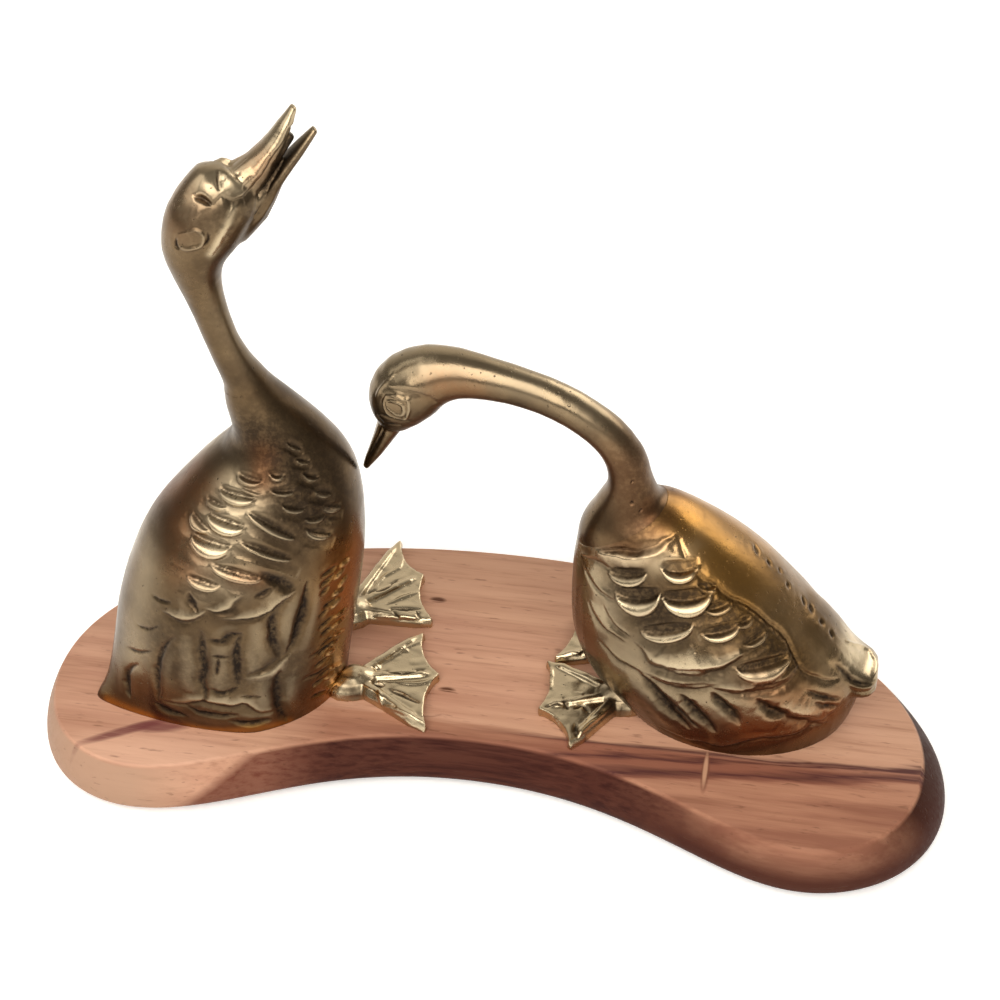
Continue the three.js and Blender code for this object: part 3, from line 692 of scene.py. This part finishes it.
def paintAlong(skin, field, pixels, radiusMm, strength, mirrored=True):
    line, _ = landed(skin, pixels, 12)
    if len(line) < 2:
        return
    for flip, _ in sidesOf(skin, mirrored):
        near, away, place, offset = nearLine(skin, line * flip, 2 * radiusMm)
        raiseTo(skin[field], near, strength * np.exp(-(away / radiusMm) ** 2))


def drawMarks(skin, tools, stains, mirrored=True):
    for used in tools:
        for line in used["lines"]:
            drawLine(skin, line, used, mirrored)
    for field, marks in stains.items():
        for mark in marks:
            paintAlong(skin, field, *mark, mirrored)


# the slight waviness of a surface that was cast and rubbed by hand
def roughen(skin, cast):
    wave = np.array([waves.noise(Vector(spot) / cast["waveMm"]) for spot in skin["spots"]])
    skin["rise"] += cast["waveHeightMm"] * wave


# moves the skin by what was carved and keeps the stains and the painted light for the material. What stands up is
# rubbed bright.
rubbing = {"patinaKeeps": 0.75, "fromMm": 0.1, "overMm": 0.9}


def closeSkin(skin, keep):
    mesh = skin["obj"].data
    height = skin["rise"] - skin["cut"]
    local = (skin["spots"] + skin["facing"] * (height * keep)[:, None]) * mm
    toWorld = np.array(placeGoose(skin["goose"]))
    spots = local @ toWorld[:3, :3].T + toWorld[:3, 3]
    spots[:, 2] = np.maximum(spots[:, 2], boardTop)
    mesh.vertices.foreach_set("co", spots.ravel())
    skin["rub"] *= 1 - rubbing["patinaKeeps"] * np.clip(skin["patina"], 0, 1)
    raiseTo(skin["rub"], slice(None), np.clip((height - rubbing["fromMm"]) / rubbing["overMm"], 0, 1))
    for field in stainAndLightFields:
        mesh.attributes.new(field, "FLOAT", "POINT").data.foreach_set("value", skin[field])
    mesh.update()


# how the castings are made: voxels, rounds of smoothing over all and at the seat, and the waves of their skin
casting = {
    "body": {"voxelMm": 0.52, "passes": 60, "seatPasses": 150, "waveMm": 9, "waveHeightMm": 0.12},
    # the head's last two numbers are the strengths of its painted highlight on upward faces and its painted shade on
    # downward faces
    "head": {"voxelMm": 0.35, "passes": 50, "seatPasses": 250, "waveMm": 6, "waveHeightMm": 0.08, "stubMm": 20,
             "fade": (1.5, 2), "handledMm": 25, "rub": 0.45, "patina": 0.5},
    "foot": {"voxelMm": 0.35, "passes": 5, "waveMm": 4, "waveHeightMm": 0.35, "rub": 0.9, "solidMm": 1.2},
    "sunkMm": 3, "seatedMm": 0.6, "runOutMm": 3,
}


# body and neck of a goose as one smooth mass, which hides the steps of the solids and their seam
def gooseMass(goose, voxelMm):
    body = copyOf(goose["name"] + "_body")
    deleteFaces(body, hollowFaces(body))
    onMesh(body, bpy.ops.mesh.fill_holes, sides=0)
    neck = copyOf(goose["name"] + "_neck_and_head")
    point, normal = seatPlane(goose)
    sunk = moved(body, (0, 0, -casting["sunkMm"] * mm))
    seated = moved(neck, normal * -casting["seatedMm"] * mm)
    mass = joined(body, sunk, neck, seated)
    apply(mass, "REMESH", mode="VOXEL", voxel_size=voxelMm * mm)
    return mass


# the bills keep their edges, and the roots of the bill and the neck are evened out most
def settle(obj, goose, cast):
    bill, seat = goose["bill"], goose["seat"]
    ahead = (localSpots(obj, goose) - bill["fromMm"]) @ bill["along"]
    relax(obj, cast["passes"], np.clip(1 - ahead / 4, 0.12, 1))
    for root, passes, full in ((bill, cast["passes"], 1.5), (seat, cast["seatPasses"], 1.6)):
        away = np.linalg.norm(localSpots(obj, goose) - root["atMm"], axis=1)
        relax(obj, passes, np.clip(full - away / root["blendMm"], 0, 1))


# runs the open ends of a shell out along a direction where they lie on a plane, and closes them
def runOut(obj, point, direction, lengthM):
    edit(obj)
    bpy.ops.mesh.select_all(action="DESELECT")
    bpy.ops.mesh.select_non_manifold()
    done()
    mesh = obj.data
    flat = [abs((v.co - point) @ direction) < 0.05 * mm for v in mesh.vertices]
    mesh.vertices.foreach_set("select", [v.select and flat[v.index] for v in mesh.vertices])
    mesh.edges.foreach_set("select", [e.select and flat[e.vertices[0]] and flat[e.vertices[1]] for e in mesh.edges])
    mesh.polygons.foreach_set("select", np.zeros(len(mesh.polygons), dtype=bool))
    bpy.ops.object.mode_set(mode="EDIT")
    bpy.ops.mesh.select_mode(type="EDGE")
    bpy.ops.mesh.extrude_region_move(TRANSFORM_OT_translate={"value": direction * lengthM})
    bpy.ops.mesh.edge_face_add()
    done()


# the hollow and the tenon's socket of a body as a solid, run out past the rim and the seat
def hollowPlug(goose):
    plug = copyOf(goose["name"] + "_body")
    deleteFaces(plug, [not hollow for hollow in hollowFaces(plug)])
    point, normal = seatPlane(goose)
    runOut(plug, point, normal, casting["runOutMm"] * mm)
    runOut(plug, Vector((0, 0, boardTop)), Vector((0, 0, -1)), casting["runOutMm"] * mm)
    onMesh(plug, bpy.ops.mesh.normals_make_consistent, inside=False)
    return plug


def cutWith(obj, other, operation):
    apply(obj, "BOOLEAN", operation=operation, solver="EXACT", object=other)
    bpy.data.objects.remove(other)


# the peg under a neck that goes into the body's socket
peg = {"radiusMm": 3.5, "lengthMm": 13, "riseMm": 2}


def neckPeg(goose):
    point, normal = seatPlane(goose)
    middle = point + normal * (peg["riseMm"] - peg["lengthMm"]) / 2 * mm
    bpy.ops.mesh.primitive_cylinder_add(vertices=32, radius=peg["radiusMm"] * mm, location=middle,
                                        depth=(peg["riseMm"] + peg["lengthMm"]) * mm,
                                        rotation=normal.to_track_quat("Z", "Y").to_euler())
    bpy.ops.object.transform_apply(location=True, rotation=True, scale=True)
    return bpy.context.object


# 0 on the hollow, the rim and the seat, which stay as they are, and 1 on the skin
def outside(body, skin, hollow):
    fromRim = (skin["spots"][:, 2] - 0.4) / 1.5
    fromHollow = np.array([hollow.find_nearest(v.co)[3] for v in body.data.vertices]) / mm
    below = -aboveSeat(body, skin["goose"])
    return np.prod([np.clip(share, 0, 1) for share in (fromRim, (fromHollow - 0.05) / 0.4, below / 2)], 0)


def carveBody(body, goose, hollow):
    skin = openSkin(body, goose)
    roughen(skin, casting["body"])
    for shingle in goose["shingles"]:
        drawShingle(skin, *shingle)
    drawMarks(skin, goose["tools"], goose["stains"])
    ticks = goose["ticks"]
    for row in range(ticks["rows"]):
        for column, used in enumerate(ticks["tools"]):
            loose = hand.uniform(-ticks["loosePx"], ticks["loosePx"], 2)
            start = [s + column * a + row * d + k
                     for s, a, d, k in zip(ticks["start"], ticks["across"], ticks["down"], loose)]
            end = [s + e * hand.uniform(*ticks["lengths"]) for s, e in zip(start, ticks["stroke"])]
            drawLine(skin, (start, end), used)
    closeSkin(skin, outside(body, skin, hollow))


def carveHead(neck, goose):
    cast = casting["head"]
    skin = openSkin(neck, goose)
    roughen(skin, cast)
    skin["fade"] = cast["fade"]
    above = aboveSeat(neck, goose)
    up, paintedLightShare = skin["facing"][:, 2], np.clip(above / cast["handledMm"], 0, 1)
    # painted highlight on the faces that look up and painted shade on those that look down, fading in above the seat
    skin["rub"] += cast["rub"] * np.clip(0.2 + 0.9 * up, 0, 1) * paintedLightShare
    skin["patina"] += cast["patina"] * np.clip((0.1 - up) / 0.6, 0, 1) * paintedLightShare
    drawMarks(skin, goose["headTools"], goose["headStains"])
    closeSkin(skin, np.clip(above, 0, 1))


toeRidge, toeGroove = tool("ridge", 1.4, 0.5), tool("groove", 1.1, 0.55)


def carveFoot(foot, goose, lines):
    cast = casting["foot"]
    skin = openSkin(foot, goose)
    roughen(skin, cast)
    skin["rub"] += cast["rub"]
    tools = (toeRidge | {"lines": lines["ridges"]}, toeGroove | {"lines": lines["grooves"]})
    drawMarks(skin, tools, {"patina": lines["dark"]}, mirrored=False)
    closeSkin(skin, np.clip(skin["spots"][:, 2] / cast["solidMm"], 0, 1))


hand = np.random.default_rng(5)
for goose in (callingGoose, bowingGoose):
    name = goose["name"]
    point, normal = seatPlane(goose)
    body = gooseMass(goose, casting["body"]["voxelMm"])
    settle(body, goose, casting["body"])
    cutAway(body, point, normal)
    cutAway(body, (0, 0, boardTop), (0, 0, -1))
    plug = hollowPlug(goose)
    hollow = treeOf(plug)
    cutWith(body, plug, "DIFFERENCE")
    carveBody(body, goose, hollow)
    finishPiece(body, name + "_body", brass)
    head = gooseMass(goose, casting["head"]["voxelMm"])
    cutAway(head, point - normal * casting["head"]["stubMm"] * mm, -normal)
    settle(head, goose, casting["head"])
    cutAway(head, point, -normal)
    cutWith(head, neckPeg(goose), "UNION")
    carveHead(head, goose)
    finishPiece(head, name + "_neck_and_head", brass)
    for side, lines in goose["feet"].items():
        foot = copyOf(name + "_" + side + "_foot")
        apply(foot, "REMESH", mode="VOXEL", voxel_size=casting["foot"]["voxelMm"] * mm)
        relax(foot, casting["foot"]["passes"], np.ones(len(foot.data.vertices)))
        carveFoot(foot, goose, lines)
        finishPiece(foot, name + "_" + side + "_foot", brass)
    print("stage: cast", name, len(body.data.vertices), len(head.data.vertices))

# oiled hardwood: pinkish tan with long grain, a reddish heart along the front with dark veins at its edge,
# dark brown where the waist and the right end are cut across it, with painted shade on those sides, a painted sheen
# on the top by the left front, a glue run painted as a highlight and a shadow, and pores as short dark dashes
woodLook = {
    "name": "oiled hardwood",
    "grains": {"figure": (9, 4, 0.6, 0.09), "fibre": (1.4, 3, 0.6, 0.05), "pore": (1.2, 2, 0.5, 0.2),
               "cloud": (40, 3, 0.5, 0.5)},
    "ground": "#c89a80", "banded": "#ad7e67", "yellow": "#bd9375", "heart": "#a8785f", "heartBanded": "#875946",
    "red": "#83503f", "vein": "#4a2826", "fibrous": "#7d523c", "waist": "#683a2c", "deepWaist": "#351711",
    "rightEnd": "#341405", "lowFront": "#401e15", "leftSide": "#ad8b74", "leftFront": "#e2b69c",
    "purple": "#6b3a38", "knot": "#5d3a2a", "porous": "#50301f", "glueEdge": "#6f4535", "glue": "#b98d70",
    "driftMm": 3, "roughness": (0.42, 0.6), "specular": 0.08, "bump": {"Strength": 0.35, "Distance": 0.25 * mm},
    # veins: slope, place and width. Spots: x, y, length, width and slope. All in mm.
    "veins": [(0.05, -24.5, 1.5), (0.1, -31, 1.2), (0.13, -39, 3)],
    "purples": [(-103, -41, 16, 2.4, 0.6), (-94, -38, 10, 3, 0.2)],
    "knots": [(-24, 29, 3, 1.5), (-14, -9.5, 3, 1.5), (24, -20, 3, 1.5), (-112, -20, 3, 1.5)],
    # a glue run painted as a light highlight beside a dark shaded edge
    "glueRuns": {"glueEdge": (65, -30, 1.4, 9), "glue": (64.9, -29, 0.8, 8)},
}


def makeWood(look):
    made, tree, place, (figure, fibre, pore, cloud) = newMaterial(look)
    along, across, up = [addNode(tree, "Math", (axis, 1 / mm), operation="MULTIPLY")
                         for axis in addNode(tree, "SeparateXYZ", (place,)).outputs]
    drift = addNode(tree, "MapRange", (figure, 0.3, 0.7, -look["driftMm"], look["driftMm"]))
    front = addNode(tree, "Math", (across, drift), operation="ADD")

    # a value that runs on a slope against another one
    def sloped(value, other, slope):
        return addNode(tree, "Math", (other, -slope, value), operation="MULTIPLY_ADD")

    # limits of an oval spot, by the square of the distance from its middle in its own sizes
    def spot(x, y, longMm, wideMm, slope=0):
        reach = 0
        for value, middle, size in ((along, x, longMm), (sloped(across, along, slope), y - slope * x, wideMm)):
            offset = addNode(tree, "MapRange", (value, middle, middle + size), clamp=False)
            reach = addNode(tree, "Math", (offset, offset, reach), operation="MULTIPLY_ADD")
        return reach, 1, 0.2

    side, rightHalf = (up, 16.9, 16), (along, -10, 30)
    waist = (side, (sloped(along, up, 1.42), -92, -86), (along, 75, 45))
    heart = layered(tree, look, [("heartBanded", 1, (figure, 0.4, 0.6))], "heart")
    redTop, redFoot = (sloped(front, along, 0.05), -24, -25.5), (sloped(front, along, 0.13), -43, -41)
    layers = [
        ("banded", 1, (figure, 0.36, 0.66)),
        ("yellow", 1, (cloud, 0.42, 0.62, 0, 0.4)),
        (heart, 1, (front, -22, -24), (along, -62, -45)),
        ("red", 0.75, redTop, redFoot, rightHalf),
    ]
    for slope, placeMm, wideMm in look["veins"]:
        value = sloped(front, along, slope)
        flanks = (value, placeMm - wideMm, placeMm), (value, placeMm + wideMm, placeMm)
        layers.append(("vein", 0.95, *flanks, (fibre, 0.3, 0.46, 0.5, 1), rightHalf))
    layers += [
        ("fibrous", 1, (fibre, 0.5, 0.75, 0, 0.4)),
        # the waist and the right end: dark end grain with painted shade on those sides
        ("waist", 1, *waist, (fibre, 0.3, 0.6, 1, 0.8)),
        ("deepWaist", 1, *waist, (along, -62, -44), (fibre, 0.3, 0.6, 1, 0.7)),
        ("rightEnd", 1, side, (along, 100, 118), (across, -52, -34)),
        ("lowFront", 0.95, (along, 40, 60), (up, 16.5, 7)),
        ("leftSide", 0.9, side, (along, -78, -98)),
        # a painted sheen on the top by the left front
        ("leftFront", 0.35, spot(-92, -54, 34, 16), (up, 16.5, 17)),
    ]
    layers += [("purple", 0.85, spot(*mark), (fibre, 0.3, 0.5, 0.5, 1)) for mark in look["purples"]]
    layers += [("knot", 1, spot(*mark), (fibre, 0.4, 0.5)) for mark in look["knots"]]
    layers += [(tint, 0.9, spot(*mark), (cloud, 0.3, 0.5, 0.6, 1)) for tint, mark in look["glueRuns"].items()]
    layers.append(("porous", 1, (pore, 0.65, 0.76, 0, 0.4)))
    colour = layered(tree, look, layers)
    rough = addNode(tree, "MapRange", (fibre, 0.3, 0.7, *look["roughness"]))
    pits = addNode(tree, "MapRange", (pore, 0.62, 0.72))
    height = addNode(tree, "Math", (fibre, pits), operation="SUBTRACT")
    bump = addNode(tree, "Bump", {"Height": height, **look["bump"]})
    finishMaterial(tree, {"Base Color": colour, "Roughness": rough, "Specular IOR Level": look["specular"],
                          "Normal": bump})
    return made


# pressed wool felt: dark green with a fuzzy, uneven nap
feltLook = {"name": "pressed wool felt", "grains": {"nap": (0.9, 4, 0.7, 1), "tuft": (6, 3, 0.6, 1)},
            "ground": "#243a2a", "raised": "#3c5a44", "tufted": "#2e4a36", "roughness": 0.95, "sheen": 0.4,
            "bump": {"Strength": 0.5, "Distance": 0.3 * mm}}


def makeFelt(look):
    made, tree, place, (nap, tuft) = newMaterial(look)
    colour = layered(tree, look, [("raised", 1, (nap, 0.3, 0.7)), ("tufted", 1, (tuft, 0.4, 0.7, 0, 0.4))])
    bump = addNode(tree, "Bump", {"Height": nap, **look["bump"]})
    finishMaterial(tree, {"Base Color": colour, "Roughness": look["roughness"], "Sheen Weight": look["sheen"],
                          "Normal": bump})
    return made


# zinc plated steel: pale and slightly cloudy
zincLook = {"name": "zinc plated steel", "grains": {"cloud": (2, 3, 0.6, 1)}, "ground": "#b4b6b8",
            "clouded": "#989ca0", "roughness": (0.28, 0.45)}


def makeZinc(look):
    made, tree, place, (cloud,) = newMaterial(look)
    colour = layered(tree, look, [("clouded", cloud)])
    rough = addNode(tree, "MapRange", (cloud, 0.3, 0.7, *look["roughness"]))
    finishMaterial(tree, {"Base Color": colour, "Metallic": 1, "Roughness": rough})
    return made


wood, felt, zinc = makeWood(woodLook), makeFelt(feltLook), makeZinc(zincLook)


# the smooth wall of a plinth piece from the facets of its solid, closed again above and below
def smoothWall(node, fixings):
    obj = copyOf(node)
    holes = [sum(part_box(stud), Vector()) / 2 for stud in fixings]
    reach = (fixing["pocketRadiusMm"] + fixing["clearMm"]) * mm
    doomed = [abs(p.normal.z) > 0.99 or any((p.center - hole).xy.length < reach for hole in holes)
              for p in obj.data.polygons]
    deleteFaces(obj, doomed)
    onMesh(obj, bpy.ops.mesh.tris_convert_to_quads, face_threshold=math.radians(60),
           shape_threshold=math.radians(180))
    apply(obj, "SUBSURF", levels=2, render_levels=2)
    onMesh(obj, bpy.ops.mesh.fill_holes, sides=0)
    return obj


fixing = {"pocketRadiusMm": 9, "pocketDepthMm": 8, "holeRadiusMm": 2.8, "clearMm": 1}
studs = ("calling_goose_mounting_stud", "bowing_goose_mounting_stud")
board = smoothWall("base_board", studs)
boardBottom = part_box("base_board")[0].z
for stud in studs:
    axis = sum(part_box(stud), Vector()) / 2
    for radiusMm, top in ((fixing["pocketRadiusMm"], boardBottom + fixing["pocketDepthMm"] * mm),
                          (fixing["holeRadiusMm"], boardTop + fixing["clearMm"] * mm)):
        bottom = boardBottom - fixing["clearMm"] * mm
        bpy.ops.mesh.primitive_cylinder_add(vertices=48, radius=radiusMm * mm, depth=top - bottom,
                                            location=(axis.x, axis.y, (top + bottom) / 2))
        cutWith(board, bpy.context.object, "DIFFERENCE")
finishPiece(board, "base_board", wood)

pad = smoothWall("base_felt", ())
finishPiece(pad, "base_felt", felt)

for name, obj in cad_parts.items():
    finish = brass if name.endswith("bridge") else zinc if name.endswith(("stud", "washer", "nut")) else None
    if finish:
        obj.data.materials[0] = finish
print("stage: plinth, felt and fixings", len(board.data.vertices))

# floor: a pale sheet that glows a little for the eye, so that it reads as white and keeps the shadow
floorLook = {"name": "pale floor", "sizeM": 6, "colour": "#fbfaf8", "roughness": 0.8, "glow": 0.3}
bpy.ops.mesh.primitive_plane_add(size=floorLook["sizeM"], location=(0, 0, 0))
floor = bpy.context.object
floor.name = "floor"
made, tree, place, grains = newMaterial(floorLook)
rays = addNode(tree, "LightPath").outputs
seen = rays["Is Camera Ray"]
for ray in ("Is Glossy Ray", "Is Transmission Ray"):
    seen = addNode(tree, "Math", (seen, rays[ray]), operation="MAXIMUM")
glow = addNode(tree, "Math", (seen, floorLook["glow"]), operation="MULTIPLY")
finishMaterial(tree, {"Base Color": linear(floorLook["colour"]), "Roughness": floorLook["roughness"],
                      "Emission Color": linear("#ffffff"), "Emission Strength": glow})
floor.data.materials.append(made)

# light: three softboxes, aimed a little above the floor
aimM = 0.08
lamps = {
    "front window": {"azimuth": 3, "elevation": 42, "distanceM": 1.5, "sizeM": (1.6, 1.4), "watts": 27,
                     "tint": "#fffbf5"},
    "side window": {"azimuth": -72, "elevation": 48, "distanceM": 1.4, "sizeM": (1.1, 1.2), "watts": 6,
                    "tint": "#fbfaf6"},
    "far window": {"azimuth": 138, "elevation": 28, "distanceM": 1.6, "sizeM": (1.2, 0.8), "watts": 8,
                   "tint": "#fffbf5"},
}
for name, lamp in lamps.items():
    out = towards(lamp["azimuth"], lamp["elevation"])
    bpy.ops.object.light_add(type="AREA", location=out * lamp["distanceM"] + Vector((0, 0, aimM)),
                             rotation=(-out).to_track_quat("-Z", "Y").to_euler())
    softbox = bpy.context.object
    softbox.name = name
    softbox.data.shape = "RECTANGLE"
    softbox.data.size, softbox.data.size_y = lamp["sizeM"]
    softbox.data.energy = lamp["watts"]
    softbox.data.color = linear(lamp["tint"])[:3]

# the room: a pale wall behind and a dim front
room = {"colour": "#d8d2c8", "wall": (0.35, 0.8), "strength": (0.32, 1.4)}
world = bpy.data.worlds.new("studio")
bpy.context.scene.world = world
world.use_nodes = True
tree = world.node_tree
tree.nodes.clear()
compass = addNode(tree, "SeparateXYZ", (addNode(tree, "TexCoord").outputs["Generated"],))
strength = addNode(tree, "MapRange", (compass.outputs["Y"], *room["wall"], *room["strength"]))
air = addNode(tree, "Background", {"Color": linear(room["colour"]), "Strength": strength})
addNode(tree, "OutputWorld", {"Surface": air})
bpy.context.scene.view_settings.view_transform = "Standard"
